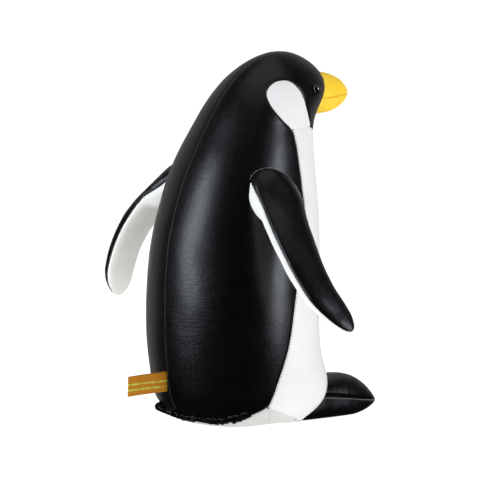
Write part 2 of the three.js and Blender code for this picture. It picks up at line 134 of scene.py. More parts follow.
# How many times longer and wider each wing came out, how far it lies to the rear, and how far it bows out.
WING_FIT = {"right": (1.04, 1, 0, 0), "left": (1.045, 1.10, 0.003, 0.0052)}
# Where a wing is sewn to the body: turn of the wing's section (degrees), then the place in side view (y, z).
WING_ROOT = [
    (24, 0.0284, 0.1807), (45, 0.0262, 0.1841), (66, 0.0216, 0.1876), (90, 0.0145, 0.1892),
    (112, 0.0073, 0.1876), (132, -0.0003, 0.1824), (144, -0.0050, 0.1771), (156, -0.0081, 0.1711),
    (190, -0.0050, 0.1630), (225, 0.0020, 0.1560), (265, 0.0140, 0.1535), (305, 0.0267, 0.1568),
    (332, 0.0301, 0.1619), (357, 0.0311, 0.1699), (384, 0.0284, 0.1807),
]

# Foot sections: y, middle (x), half width, sole height, seam height, top height.
FOOT_TOE, FOOT_ROUNDING, FOOT_MIDDLE = -0.0968, -0.070, 0.031
FOOT_SECTIONS = [
    (-0.0968, 0.036, 0.0155, 0.0046, 0.0092, 0.0180),
    (-0.0900, 0.0345, 0.0172, 0.0030, 0.0106, 0.0236),
    (-0.0780, 0.032, 0.0190, 0.0012, 0.0128, 0.0290),
    (-0.0640, 0.031, 0.0205, 0.0003, 0.0156, 0.0312),
    (-0.0500, 0.0305, 0.0208, 0.0001, 0.0176, 0.0308),
    (-0.0340, 0.031, 0.0200, 0.0001, 0.0183, 0.0280),
    (-0.0180, 0.032, 0.0150, 0.0003, 0.0100, 0.0180),
]

# Beak sections: y, height of the middle, half width, half height, height of the side seam.
BEAK_TIP, BEAK_ROUNDING, BEAK_MIDDLE = -0.1008, -0.078, 0.2372
BEAK_SECTIONS = [
    (-0.1008, 0.2370, 0.0085, 0.0090, 0.2352),
    (-0.0977, 0.2371, 0.0098, 0.0098, 0.2353),
    (-0.0941, 0.2372, 0.0112, 0.0114, 0.2354),
    (-0.0883, 0.2374, 0.0126, 0.0129, 0.2354),
    (-0.0820, 0.2374, 0.0137, 0.0142, 0.2351),
    (-0.0750, 0.2376, 0.0148, 0.0154, 0.2346),
    (-0.0680, 0.2378, 0.0157, 0.0161, 0.2343),
    (-0.0520, 0.2376, 0.0168, 0.0163, 0.2340),
]

EYE_YZ = (-0.0442, 0.2424)
# The gathered edge runs between these angles from the middle of the back.
RUFFLE_FROM, RUFFLE_TO = math.radians(-31), math.radians(61)


# ---- Curves ----
def spline(rows):
    """The natural cubic spline through rows whose first value is the position, as a function."""
    table = np.array(rows, float)
    x, y = table[:, 0], table[:, 1:]
    gap = np.diff(x)
    last = len(x) - 1
    system, right = np.eye(len(x)), np.zeros_like(y)
    for i in range(1, last):
        system[i, i - 1 : i + 2] = gap[i - 1], 2 * (gap[i - 1] + gap[i]), gap[i]
        right[i] = 6 * ((y[i + 1] - y[i]) / gap[i] - (y[i] - y[i - 1]) / gap[i - 1])
    bend = np.linalg.solve(system, right)

    def at(position):
        p = np.clip(np.asarray(position, float), x[0], x[-1])
        i = np.clip(np.searchsorted(x, p, "right") - 1, 0, last - 1)
        h, a, b = (v[..., None] for v in (gap[i], x[i + 1] - p, p - x[i]))
        value = (bend[i] * a**3 + bend[i + 1] * b**3) / (6 * h)
        value += (y[i] / h - bend[i] * h / 6) * a + (y[i + 1] / h - bend[i + 1] * h / 6) * b
        return np.moveaxis(value, -1, 0)

    return at


def smooth_line(points, steps=10):
    """A Catmull-Rom line through points, with a number of steps between each two."""
    p = np.array(points, float)
    p = np.vstack([p[:1], p, p[-1:]])
    t = np.linspace(0, 1, steps, endpoint=False)[:, None]
    out = []
    for a, b, c, d in zip(p, p[1:], p[2:], p[3:]):
        bend = (2 * a - 5 * b + 4 * c - d) * t**2 + (3 * b - a - 3 * c + d) * t**3
        out.append(0.5 * (2 * b + (c - a) * t + bend))
    return np.vstack(out + [p[-1:]])


def run_lengths(points, axis=0):
    """How far each point of a line or a grid is from its first one along an axis of the grid."""
    steps = np.linalg.norm(np.diff(points, axis=axis), axis=-1)
    return np.concatenate([np.zeros_like(steps.take([0], axis)), np.cumsum(steps, axis=axis)], axis=axis)


def between(at, places, rows):
    """Rows of values at some places, from the rows known at other ones."""
    return np.stack([np.interp(at, places, column) for column in np.transpose(rows)], axis=-1)


def unit(vectors):
    return vectors / np.maximum(np.linalg.norm(vectors, axis=-1, keepdims=True), 1e-12)


def resampled(line, spacing):
    """Points a spacing apart along a line, in any number of dimensions."""
    along = run_lengths(line)
    return between(np.arange(0, along[-1], spacing), along, line)


def line_distance(points, line):
    """Each point's distance from a line in the plane, and how far along the line the nearest place is."""
    best, along = np.full(len(points), 9.0), np.zeros(len(points))
    run = 0.0
    for a, b in zip(line, line[1:]):
        step = b - a
        long = max(float(np.hypot(*step)), 1e-9)
        t = np.clip(((points - a) @ step) / long**2, 0, 1)
        away = np.hypot(*(points - a - t[:, None] * step).T)
        nearer = away < best
        best[nearer] = away[nearer]
        along[nearer] = run + t[nearer] * long
        run += long
    return best, along


def inside(points, outline):
    """Whether each point of the plane is inside a closed outline."""
    result = np.zeros(len(points), bool)
    px, py = points.T
    for (ax, ay), (bx, by) in zip(outline, np.roll(outline, -1, axis=0)):
        spans = (ay > py) != (by > py)
        cross = ax + (py - ay) * (bx - ax) / (by - ay if by != ay else 1e-12)
        result ^= spans & (px < cross)
    return result


def narrowing(position, start, tip):
    """How a rounded end narrows the sections: 1 up to its start and 0 at its tip."""
    rise = np.clip((position - start) / (tip - start), 0, 1)
    return np.sqrt(1 - rise**2)


def noise_along(along, scale, across, seed):
    """Smooth noise from -1 to 1 at places along a line."""
    return np.array([noise.noise(Vector((a / scale, across, seed))) for a in along])


def ripple(points, scale, seed=0.0):
    """Smooth noise from -1 to 1 at each point."""
    shift = Vector((seed * 7.31, seed * 3.17, seed * 5.77))
    return np.array([noise.noise(Vector(p) / scale + shift) for p in points])


# ---- Body surface ----
body_section = spline(BODY_SECTIONS)


def body_ring(z):
    """Middle, back half depth, front half depth and half width of the level section at each height."""
    middle, depth, width, egg = body_section(z)
    closing = narrowing(z, DOME_START, HEIGHT)
    return middle, depth * closing * (1 - egg), depth * closing * (1 + egg), width * closing


def body_point(angle, z):
    """Points of the body: the angle is 0 at the middle of the back and grows towards the right side."""
    middle, back, front, width = body_ring(z)
    depth = np.where(np.cos(angle) > 0, back, front)
    return np.stack([-width * np.sin(angle), middle + depth * np.cos(angle), z + 0 * angle], axis=-1)


def side_points(sign, yz):
    """The points on one side of the body that side view shows at (y, z)."""
    y, z = np.asarray(yz, float).T
    middle, back, front, _ = body_ring(z)
    cosine = (y - middle) / np.maximum(np.where(y > middle, back, front), 1e-9)
    return body_point(-sign * np.arccos(np.clip(cosine, -1, 1)), z)


def level(points):
    """Under 1 inside the plain body, 1 on it, over 1 outside."""
    x, y, z = points.T
    middle, back, front, width = body_ring(np.clip(z, 0, HEIGHT))
    depth = np.maximum(np.where(y > middle, back, front), 1e-5)
    return np.sqrt((x / np.maximum(width, 1e-5)) ** 2 + ((y - middle) / depth) ** 2)


def body_normals(points):
    """Outward directions of the plain body at points on it."""
    step = 2e-4
    grad = np.stack([level(points + step * e) - level(points - step * e) for e in np.eye(3)], axis=1)
    grad[points[:, 2] > HEIGHT - 1e-4] = 0, 0, 1
    return unit(grad)


BELLY_LINE, CHEEK_LINE = smooth_line(BELLY_EDGE), smooth_line(CHEEK_EDGE)
# The seams in side view, and how deep each one draws the skin in.
SEAMS = [
    (BELLY_LINE, 0.0004),
    (CHEEK_LINE, 0.0004),
    (np.array(CHEEK_BOTTOM), 0.0003),
    (np.array(THROAT_EDGE), 0.0004),
    (np.array(BASE_EDGE), 0.0006),
    (np.array(GUSSET_BACK), 0.0003),
    (np.array(GUSSET_FRONT), 0.0003),
]
# The centre back seam stops where the white belly and the base begin.
CENTRE_DEPTH = 0.00015
# How wide a seam's valley is, and how far its puckers reach.
SEAM_WIDTH, PUCKER_REACH = 0.0012, 0.005


def groove(distance, along, depth, seed):
    """How far a seam draws the surface in, with small puckers between its stitches and wider ones."""
    wide = noise_along(along, 0.0065, seed, 0.3)
    fading = np.exp(-distance / PUCKER_REACH)
    sink = depth * np.exp(-((distance / SEAM_WIDTH) ** 2)) + 0.4 * depth * fading
    small = 0.16 * depth * np.cos(TAU * along / STITCH_PITCH) * np.exp(-distance / 0.0016)
    return -sink + small + 0.45 * depth * wide * fading


def skin_offset(points):
    """How far the sewn skin stands out from the plain body surface at each point."""
    out = np.zeros(len(points))
    for sign in SIDES.values():
        for x, y, z, swell, reach in SWELLS:
            away = points - [sign * x, y, z]
            out += swell * np.exp(-(away**2).sum(axis=1) / reach**2)
    out += 0.00045 * ripple(points, 0.034, 1) + 0.0001 * ripple(points, 0.011, 2)
    for k, (line, depth) in enumerate(SEAMS):
        near = (np.abs(points[:, 2] - line[:, 1].mean()) < 0.15) & (np.abs(points[:, 0]) > 1e-6)
        distance, along = line_distance(points[near][:, 1:], line)
        out[near] += groove(distance, along, depth, k)
    front_belly = (points[:, 1] < -0.012) & (points[:, 2] < 0.2135)
    centre = ~front_belly & (points[:, 2] > 0.0026)
    x = np.abs(points[centre][:, 0])
    out[centre] += groove(x, points[centre][:, 2] - points[centre][:, 1], CENTRE_DEPTH, 9)
    return out


def skin(points):
    """Points of the plain body moved out to the sewn skin, with the base drawn up beside its gussets."""
    x, y, rise, reach, above = GUSSET_PULL
    moved = points + body_normals(points) * skin_offset(points)[:, None]
    aside = (np.abs(points[:, 0]) - x) ** 2 + (points[:, 1] - y) ** 2
    near = aside / reach**2 + (points[:, 2] / above) ** 2
    moved[:, 2] = np.maximum(moved[:, 2] + rise * np.exp(-near), CLEAR_OF_FLOOR)
    return moved


# ---- Meshes ----
def circle(count, radius=1.0):
    """Points round a circle."""
    turns = [TAU * k / count for k in range(count)]
    return [(radius * math.cos(turn), radius * math.sin(turn)) for turn in turns]


def add_object(name, data):
    obj = bpy.data.objects.new(name, data)
    bpy.context.scene.collection.objects.link(obj)
    return obj


def smooth_object(name, mesh, mat):
    mesh.materials.append(mat)
    mesh.polygons.foreach_set("use_smooth", [True] * len(mesh.polygons))
    return add_object(name, mesh)


def new_object(name, points, faces, mat):
    mesh = bpy.data.meshes.new(name)
    mesh.from_pydata([tuple(p) for p in points], [], faces)
    mesh.validate()
    return smooth_object(name, mesh, mat)


def grid_faces(rows, columns, closed):
    """Quads over a grid of points, closed into a tube if it goes all the way round."""
    faces = []
    for r in range(rows - 1):
        for c in range(columns if closed else columns - 1):
            d = (c + 1) % columns
            faces.append((r * columns + c, r * columns + d, (r + 1) * columns + d, (r + 1) * columns + c))
    return faces


def thicken(obj, thickness=SKIN):
    """Gives a sheet its thickness inwards, so that its mesh is a closed shell."""
    shell = obj.modifiers.new("thickness", "SOLIDIFY")
    shell.thickness, shell.offset = thickness, -1
    apply_modifiers(obj)


def apply_modifiers(obj):
    graph = bpy.context.evaluated_depsgraph_get()
    mesh = bpy.data.meshes.new_from_object(obj.evaluated_get(graph), depsgraph=graph)
    obj.modifiers.clear()
    obj.data = mesh


def cleaned(obj, merge=0.00002):
    """Merges the points that fall together, as at a pole, and makes the faces point out."""
    bm = bmesh.new()
    bm.from_mesh(obj.data)
    bmesh.ops.remove_doubles(bm, verts=bm.verts, dist=merge)
    bmesh.ops.dissolve_degenerate(bm, edges=bm.edges, dist=merge / 2)
    bmesh.ops.recalc_face_normals(bm, faces=bm.faces)
    bm.to_mesh(obj.data)
    bm.free()


def dome_heights(start, end, count, top=HEIGHT):
    """Heights over the dome of the head, between two turns from its edge (0) towards its top."""
    return DOME_START + (top - DOME_START) * np.sin(np.linspace(start, end, count))


def body_grid():
    """The whole plain body as a fine grid: its points and faces, with the bottom closed."""
    walls = np.arange(0, DOME_START, 0.0016)
    dome = dome_heights(0, math.pi / 2, 44)
    heights = np.concatenate([np.zeros(16), walls, dome])
    spread = np.concatenate([np.linspace(0, 1, 17)[:-1], np.ones(len(walls) + len(dome))])
    angles = np.linspace(0, TAU, 260, endpoint=False)
    rings = body_point(angles[None, :], heights[:, None])
    hub = np.array([0, BODY_SECTIONS[0][1], 0])
    flat = spread[:, None, None] < 1
    rings = np.where(flat, hub + (rings - hub) * spread[:, None, None], rings)
    return rings.reshape(-1, 3), grid_faces(len(heights), len(angles), True)


def cut_to(points, faces, field):
    """The part of a mesh where the field is negative, cut along the field's zero line, and finer near it."""
    value = field(points)
    keep = [f for f in faces if min(value[list(f)]) < 0]
    used = sorted({v for f in keep for v in f})
    number = {v: i for i, v in enumerate(used)}
    bm = bmesh.new()
    layer = bm.verts.layers.float.new("field")
    verts = [bm.verts.new(points[v]) for v in used]
    for v, i in zip(verts, used):
        v[layer] = value[i] if abs(value[i]) > 2e-5 else -1e-7
    for f in keep:
        bm.faces.new([verts[number[v]] for v in f])
    bmesh.ops.remove_doubles(bm, verts=bm.verts, dist=1e-6)
    crossing = [e for e in bm.edges if (e.verts[0][layer] < 0) != (e.verts[1][layer] < 0)]
    on_line = []
    for edge in crossing:
        a, b = edge.verts
        _, v = bmesh.utils.edge_split(edge, a, a[layer] / (a[layer] - b[layer]))
        v[layer] = 0
        on_line.append(v)
    bmesh.ops.connect_verts(bm, verts=on_line)
    outside = [f for f in bm.faces if max(v[layer] for v in f.verts) > 1e-6]
    bmesh.ops.delete(bm, geom=outside, context="FACES")
    bmesh.ops.remove_doubles(bm, verts=bm.verts, dist=0.0001)
    bmesh.ops.triangulate(bm, faces=[f for f in bm.faces if len(f.verts) > 4])
    for band in (0.005, 0.0025):
        near = [e for e in bm.edges if max(v[layer] for v in e.verts) > -band and e.calc_length() > 0.0006]
        bmesh.ops.subdivide_edges(bm, edges=near, cuts=1, use_grid_fill=True)
        bm.verts.ensure_lookup_table()
        fresh = field(np.array([v.co[:] for v in bm.verts]))
        for v, f in zip(bm.verts, fresh):
            v[layer] = f
    bmesh.ops.triangulate(bm, faces=[f for f in bm.faces if len(f.verts) > 4])
    return bm


def outline_field(outline, sign=0):
    """Signed distance in side view from a closed outline, negative inside, on one side of the body."""
    loop = np.array(outline)
    closed = np.vstack([loop, loop[:1]])

    def field(points):
        yz = points[:, 1:]
        distance, _ = line_distance(yz, closed)
        signed = np.where(inside(yz, loop), -distance, distance)
        return np.maximum(signed, -sign * points[:, 0]) if sign else signed

    return field


def eased(count):
    """Shares from 0 to 1, closer together at both ends."""
    return 0.5 * (1 - np.cos(np.linspace(0, math.pi, count)))


def sewn_panel(name, points, outward, mat, depth, seed, relief=0.0003, folds=0.0, rooted=False, floor=False):
    """A panel of stuffed leatherette from a grid of points, sewn along both its long sides.

    The grid's last row may be one point, the panel's tip. Folds are puckers across the seams. A rooted panel
    is sewn along its first row too.
    """
    across, down = run_lengths(points, 1), run_lengths(points, 0)
    left, right = across, across[:, -1:] - across
    edge = np.minimum(left, right)
    along = np.where(left < right, down[:, :1], down[:, -1:])
    if rooted:
        along = np.where(down < edge, across, along)
        edge = np.minimum(edge, down)
    normal = np.cross(np.gradient(points, axis=0), np.gradient(points, axis=1))
    normal[-1] = normal[-3].mean(axis=0)
    normal = unit(normal)
    normal *= np.sign((normal @ outward).mean())
    flat, edge, along = points.reshape(-1, 3), edge.ravel(), along.ravel()
    lumps = ripple(flat, 0.015, seed) + 0.3 * ripple(flat, 0.005, seed)
    offset = groove(edge, along, depth, seed) + relief * lumps
    if folds:
        offset += folds * noise_along(along, 0.0026, seed, 0.7) * np.exp(-edge / 0.0042)
    flat = flat + normal.reshape(-1, 3) * offset[:, None]
    if floor:
        flat[:, 2] = np.maximum(flat[:, 2], CLEAR_OF_FLOOR)
    obj = new_object(name, flat, grid_faces(*points.shape[:2], False), mat)
    cleaned(obj)
    face = obj.data.polygons[len(obj.data.polygons) // 2]
    at = np.argmin(((flat - np.array(face.center)) ** 2).sum(axis=1))
    if face.normal.dot(Vector(normal.reshape(-1, 3)[at])) < 0:
        obj.data.flip_normals()
    thicken(obj, THIN_SKIN)
    return obj


def half_cover(name, surface, root, tip, counts, mat, **sewing):
    """The upper or lower half of a foot or the beak, sewn from a grid between its root and its tip (y)."""
    share, t = np.meshgrid(np.linspace(0, 1, counts[0]), eased(counts[1]), indexing="ij")
    y = root + (tip - root) * np.sin(share * math.pi / 2)
    upper = "upper" in name
    points = surface(y, (0 if upper else math.pi) + math.pi * t)
    return sewn_panel(name, points, np.array([0, 0, 1 if upper else -1]), mat, **sewing)


def stitches(name, line, normals, mat, length=0.0014, radius=0.0002, pitch=STITCH_PITCH, skew=0.0):
    """A row of thread stitches that dip into the surface at both ends, as one mesh."""
    along = run_lengths(line)
    at = np.arange(pitch / 2, along[-1], pitch)
    middles = between(at, along, line)
    up = unit(between(at, along, normals))
    ahead = unit(between(at + 2e-4, along, line) - middles)
    ahead = ahead * math.cos(skew) + np.cross(up, ahead) * math.sin(skew)
    aside = np.cross(up, ahead)
    # Stations along a stitch: share of its length, height and width in radii.
    stations = [(-0.5, -1.2, 0.5), (-0.3, 0.1, 0.95), (0, 0.5, 1.0), (0.3, 0.1, 0.95), (0.5, -1.2, 0.5)]
    ring = circle(6)
    points, faces = [], []
    for p, t, n, b in zip(middles, ahead, up, aside):
        first = len(points)
        for shift, rise, width in stations:
            middle = p + t * shift * length + n * radius * rise
            points += [middle + (n * s + b * c) * radius * width for c, s in ring]
        faces += [tuple(first + i for i in f) for f in grid_faces(5, 6, True)]
        faces.append(tuple(first + 5 - k for k in range(6)))
        faces.append(tuple(first + 24 + k for k in range(6)))
    return new_object(name, points, faces, mat)


# ---- Materials ----
def material(name, colour, roughness, specular=0.5):
    mat = bpy.data.materials.new(name)
    mat.use_nodes = True
    tree = mat.node_tree
    shader = tree.nodes["Principled BSDF"]
    shader.inputs["Base Color"].default_value = (*colour, 1)
    shader.inputs["Roughness"].default_value = roughness
    shader.inputs["Specular IOR Level"].default_value = specular
    return mat, tree, shader


def texture(tree, kind, scale, **inputs):
    """A texture node on object coordinates, in features per metre."""
    place = tree.nodes.get("Place") or tree.nodes.new("ShaderNodeTexCoord")
    place.name = "Place"
    node = tree.nodes.new(kind)
    node.inputs["Scale"].default_value = scale
    for key, value in inputs.items():
        node.inputs[key.replace("_", " ").title()].default_value = value
    tree.links.new(place.outputs["Object"], node.inputs["Vector"])
    return node


def ramp(tree, source, low, high, start=0.0, end=1.0):
    """Maps a texture's value between two values or two colours."""
    node = tree.nodes.new("ShaderNodeValToRGB")
    node.color_ramp.elements[0].position = start
    node.color_ramp.elements[1].position = end
    for element, value in zip(node.color_ramp.elements, (low, high)):
        element.color = (value, value, value, 1) if isinstance(value, float) else (*value, 1)
    tree.links.new(source, node.inputs["Fac"])
    return node.outputs["Color"]


def bump(tree, shader, *layers):
    """Chains bump layers, each (height, distance, strength), into a shader's normal."""
    last = None
    for height, distance, strength in layers:
        node = tree.nodes.new("ShaderNodeBump")
        node.inputs["Distance"].default_value = distance
        node.inputs["Strength"].default_value = strength
        tree.links.new(height, node.inputs["Height"])
        if last:
            tree.links.new(last, node.inputs["Normal"])
        last = node.outputs["Normal"]
    tree.links.new(last, shader.inputs["Normal"])


def leatherette(name, dark, light, rough, specular, grain=0.5, strain=0.0):
    """Grained artificial leather: pebbled cells, fine creases, and a finish that varies a little.

    Strain is the strength of the level creases in tightly stuffed leatherette.
    """
    mat, tree, shader = material(name, light, rough[0], specular)
    cells = texture(tree, "ShaderNodeTexVoronoi", 1300)
    cells.feature = "SMOOTH_F1"
    creases = texture(tree, "ShaderNodeTexNoise", 420, detail=4.0, roughness=0.6)
    patches = texture(tree, "ShaderNodeTexNoise", 45, detail=3.0)
    tree.links.new(ramp(tree, patches.outputs["Fac"], dark, light, 0.3, 0.65), shader.inputs["Base Color"])
    shine = ramp(tree, creases.outputs["Fac"], rough[0], rough[1], 0.35, 0.7)
    tree.links.new(shine, shader.inputs["Roughness"])
    layers = [(cells.outputs["Distance"], 0.00012, grain), (creases.outputs["Fac"], 0.0002, grain * 0.6)]
    if strain:
        stretched = tree.nodes.new("ShaderNodeMapping")
        stretched.inputs["Scale"].default_value = (1, 1, 6)
        tree.links.new(tree.nodes["Place"].outputs["Object"], stretched.inputs["Vector"])
        lines = texture(tree, "ShaderNodeTexNoise", 95, detail=4.0, roughness=0.6)
        tree.links.new(stretched.outputs["Vector"], lines.inputs["Vector"])
        layers.append((lines.outputs["Fac"], 0.0008, strain))
    bump(tree, shader, *layers)
    return mat


def combined(tree, operation, *values):
    """A math node's result from sockets and numbers."""
    node = tree.nodes.new("ShaderNodeMath")
    node.operation = operation
    for socket, value in zip(node.inputs, values):
        if isinstance(value, float):
            socket.default_value = value
        else:
            tree.links.new(value, socket)
    return node.outputs[0]


def woven(name, dark, light, pitch, rough=0.8, stripes=None):
    """Plain weave from two crossed wave textures, with woven lines of another colour."""
    mat, tree, shader = material(name, light, rough, 0.3)
    waves = []
    for direction in "YZ":
        wave = texture(tree, "ShaderNodeTexWave", 1 / pitch / 3.2)
        wave.bands_direction = direction
        waves.append(wave.outputs["Fac"])
    cross = combined(tree, "MULTIPLY", *waves)
    colour = ramp(tree, cross, dark, light, 0.05, 0.7)
    if stripes:
        colour = striped(tree, colour, stripes)
    tree.links.new(colour, shader.inputs["Base Color"])
    bump(tree, shader, (cross, 0.00015, 0.6))
    return mat


def striped(tree, colour, stripes):
    """Woven lines across a label: broken dashes of thread at a few heights."""
    parts = tree.nodes.new("ShaderNodeSeparateXYZ")
    tree.links.new(tree.nodes["Place"].outputs["Object"], parts.inputs[0])
    noisy = texture(tree, "ShaderNodeTexNoise", 700, detail=1.0)
    dashes = ramp(tree, noisy.outputs["Fac"], 0.0, 1.0, 0.40, 0.5)
    for height in stripes["heights"]:
        near = combined(tree, "COMPARE", parts.outputs["Z"], height, stripes["half"])
        mix = tree.nodes.new("ShaderNodeMix")
        mix.data_type = "RGBA"
        tree.links.new(combined(tree, "MULTIPLY", near, dashes), mix.inputs["Factor"])
        tree.links.new(colour, mix.inputs["A"])
        mix.inputs["B"].default_value = (*stripes["colour"], 1)
        colour = mix.outputs["Result"]
    return colour


def speckled(name, dark, light, rough, scale, specular=0.5, metallic=0.0, height=0.0003):
    """A surface with noise in its colour and relief: plastic, fibre or poured pellets."""
    mat, tree, shader = material(name, light, rough, specular)
    shader.inputs["Metallic"].default_value = metallic
    spots = texture(tree, "ShaderNodeTexNoise", scale, detail=3.0)
    tree.links.new(ramp(tree, spots.outputs["Fac"], dark, light, 0.35, 0.65), shader.inputs["Base Color"])
    bump(tree, shader, (spots.outputs["Fac"], height, 0.4))
    return mat


# Leatherettes: darkest and lightest colour, lowest and highest roughness, specular, grain and strain.
SOFT_SHINE = (0.42, 0.52)
BLACK = leatherette(
    "black_leatherette", (0.0004, 0.0004, 0.0006), (0.0010, 0.0010, 0.0014), (0.28, 0.37), 0.5, strain=0.11
)
WHITE = leatherette("white_leatherette", (0.755, 0.75, 0.74), (0.795, 0.79, 0.78), SOFT_SHINE, 0.3, 0.3)
# A brighter copy of the white leatherette for the wings' inner panels: painted light, standing in for light
# on their inner faces.
PAINTED_LIGHT_WING_WHITE = leatherette("wing_leatherette", (0.88, 0.88, 0.85), (0.92, 0.92, 0.89), SOFT_SHINE, 0.3, 0.3)
# Off-white of the base and gussets: partly their own off-white tone, partly painted shade where they sit
# beside the floor.
OFF_WHITE_AND_PAINTED_SHADE = leatherette("base_leatherette", (0.58, 0.585, 0.565), (0.63, 0.635, 0.615), (0.5, 0.6), 0.3, 0.4)
YELLOW = leatherette("yellow_leatherette", (0.93, 0.57, 0.022), (0.97, 0.68, 0.038), SOFT_SHINE, 0.4, 0.4)
SHINY = leatherette(
    "gathered_leatherette", (0.0005, 0.0005, 0.0007), (0.0016, 0.0016, 0.002), (0.26, 0.42), 0.5
)
EYE = speckled("eye_bead", (0.13, 0.13, 0.13), (0.17, 0.17, 0.17), 0.16, 160, 0.8, 1.0, 0.00002)
WASHER = speckled("washer", (0.6, 0.6, 0.58), (0.8, 0.8, 0.78), 0.5, 500)
FIBRE = speckled("fibre", (0.8, 0.8, 0.78), (0.95, 0.95, 0.93), 0.95, 900, 0.1)
IRON = speckled("iron_pellets", (0.05, 0.05, 0.05), (0.16, 0.155, 0.15), 0.45, 420, 0.5, 0.9, 0.001)
BAG = woven("bag_cloth", (0.42, 0.38, 0.30), (0.62, 0.58, 0.49), 0.0006)
# Dark thread, lighter than the black leatherette: partly its own dark grey, partly painted highlight on the
# stitches of the centre back seam.
DARK_THREAD = speckled("dark_thread", (0.05, 0.05, 0.054), (0.11, 0.11, 0.116), 0.5, 2500, 0.5)
GOLD_THREAD = speckled("gold_thread", (0.58, 0.30, 0.012), (0.70, 0.39, 0.020), 0.5, 2500, 0.5)
# Thread on the black seams of the wings, shoulders and feet: partly the thread's own colour, partly painted
# highlight on the stitches.
THREAD_WITH_PAINTED_SHEEN = speckled("thread_with_painted_sheen", (0.22, 0.22, 0.23), (0.40, 0.40, 0.41), 0.5, 2500, 0.5)


# ---- Skin panels ----
# The whole plain body as one fine grid, which the body's panels are cut from.
GRID = body_grid()


def finish_piece(obj, body, node=None):
    """Hides the CAD node that a piece stands for, if one is given, and attaches the piece to a body."""
    if node:
        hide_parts(node)
    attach(obj, body)


def body_panel(name, node, outline, sign, mat):
    """A panel of the body's skin inside an outline in side view, on one side of the body or (0) on both."""
    bm = cut_to(*GRID, outline_field(outline, sign))
    mesh = bpy.data.meshes.new(name)
    bm.to_mesh(mesh)
    bm.free()
    plain = np.array([v.co[:] for v in mesh.vertices])
    moved = skin(plain)
    mesh.vertices.foreach_set("co", moved.ravel())
    obj = smooth_object(name, mesh, mat)
    top = int(plain[:, 2].argmax())
    if mesh.vertices[top].normal.dot(Vector(body_normals(plain[top : top + 1])[0])) < 0:
        mesh.flip_normals()
    thicken(obj)
    finish_piece(obj, "body", node)


# Outlines in side view. Their outer corners lie clear of the body.
FAR, OVER, UNDER = 0.12, 0.3, -0.01
FRONT_RIM, REAR_RIM = (-FAR, BASE_RIM), (FAR, BASE_EDGE[0][1])
FRONT_THROAT = (-FAR, THROAT_EDGE[-1][1])
BELLY_OUTLINE = np.vstack([BELLY_LINE, [GUSSET_FRONT[1], FRONT_RIM, FRONT_THROAT], THROAT_EDGE[::-1]])
CHEEK_OUTLINE = np.vstack([CHEEK_LINE, CHEEK_BOTTOM])
GUSSET_OUTLINE = [GUSSET_BACK[0], GUSSET_BACK[1], GUSSET_FRONT[1]]
BASE_OUTLINE = [REAR_RIM, *BASE_EDGE[1:], GUSSET_BACK[1], FRONT_RIM, (-FAR, UNDER), (FAR, UNDER)]
BACK_CORNERS = [FRONT_THROAT, (-FAR, OVER), (FAR, OVER), REAR_RIM]
BACK_OUTLINE = np.vstack([BELLY_LINE[::-1], CHEEK_LINE, THROAT_EDGE, BACK_CORNERS, BASE_EDGE[1:]])

body_panel("belly_cover", "belly_panel", BELLY_OUTLINE, 0, WHITE)
body_panel("base_cover", "base_panel", BASE_OUTLINE, 0, OFF_WHITE_AND_PAINTED_SHADE)
for side, sign in SIDES.items():
    body_panel(f"back_cover_{side}", f"back_panel_{side}", BACK_OUTLINE, sign, BLACK)
    body_panel(f"cheek_cover_{side}", f"cheek_patch_{side}", CHEEK_OUTLINE, sign, WHITE)
    body_panel(f"gusset_cover_{side}", f"base_gusset_{side}", GUSSET_OUTLINE, sign, OFF_WHITE_AND_PAINTED_SHADE)


# ---- Wings ----
wing_section = spline(WING_SECTIONS)
root_line = smooth_line(WING_ROOT)
# The share of a wing's surface, from its root on, that is its shoulder.
SHOULDER_SHARE = 0.25


def wing_axes(sign):
    """A wing's directions: along it, to its rear edge, and out of its outer face."""
    out = np.array([sign * math.cos(WING_TURN), math.sin(WING_TURN), 0])
    rear = np.array([-sign * math.sin(WING_TURN), math.cos(WING_TURN), 0])
    up = np.array([0, 0, 1])
    along = math.sin(WING_LEAN) * out - math.cos(WING_LEAN) * up
    face = math.cos(WING_LEAN) * out + math.sin(WING_LEAN) * up
    return along, rear, face


def wing_hinge(sign):
    """The point that a wing bends about."""
    return np.array(SHOULDER) * (sign, 1, 1)


def wing_pillow(sign, distance, turn, inset=0.0):
    """Points of a wing beyond its root: distance along it, and turn round its section, 0 at the rear edge."""
    longer, wider, rearward, bow = WING_FIT["right" if sign < 0 else "left"]
    middle, chord, outer, inner, lift = wing_section(distance)
    chord = chord * wider
    closing = narrowing(distance, WING_ROUNDING, WING_TIP)
    sine, cosine = np.sin(turn), np.cos(turn)
    rearward = rearward * (1 - 1.5 * np.clip(distance / WING_TIP, 0, 1) ** 4)
    across = middle + rearward + (chord * closing - inset) * np.sign(cosine) * np.abs(cosine) ** 0.85
    half = np.where(sine > 0, outer, inner) * closing**0.8 - inset
    bowed = bow * np.sin(math.pi * np.clip(distance / WING_TIP, 0, 1) ** 0.7)
    height = lift + half * np.sign(sine) * np.abs(sine) ** 0.9 + bowed
    along, rear, face = wing_axes(sign)
    out = wing_hinge(sign) + longer * distance[..., None] * along
    return out + across[..., None] * rear + height[..., None] * face


def wing_root(sign, turn, inset=0.0):
    """Points of the outline that a wing is sewn on at."""
    degrees = (np.degrees(turn) - WING_ROOT[0][0]) % 360 + WING_ROOT[0][0]
    yz = between(degrees, root_line[:, 0], root_line[:, 1:])
    plain = side_points(sign, yz.reshape(-1, 2))
    return (plain - body_normals(plain) * (0.0006 + inset)).reshape(*turn.shape, 3)


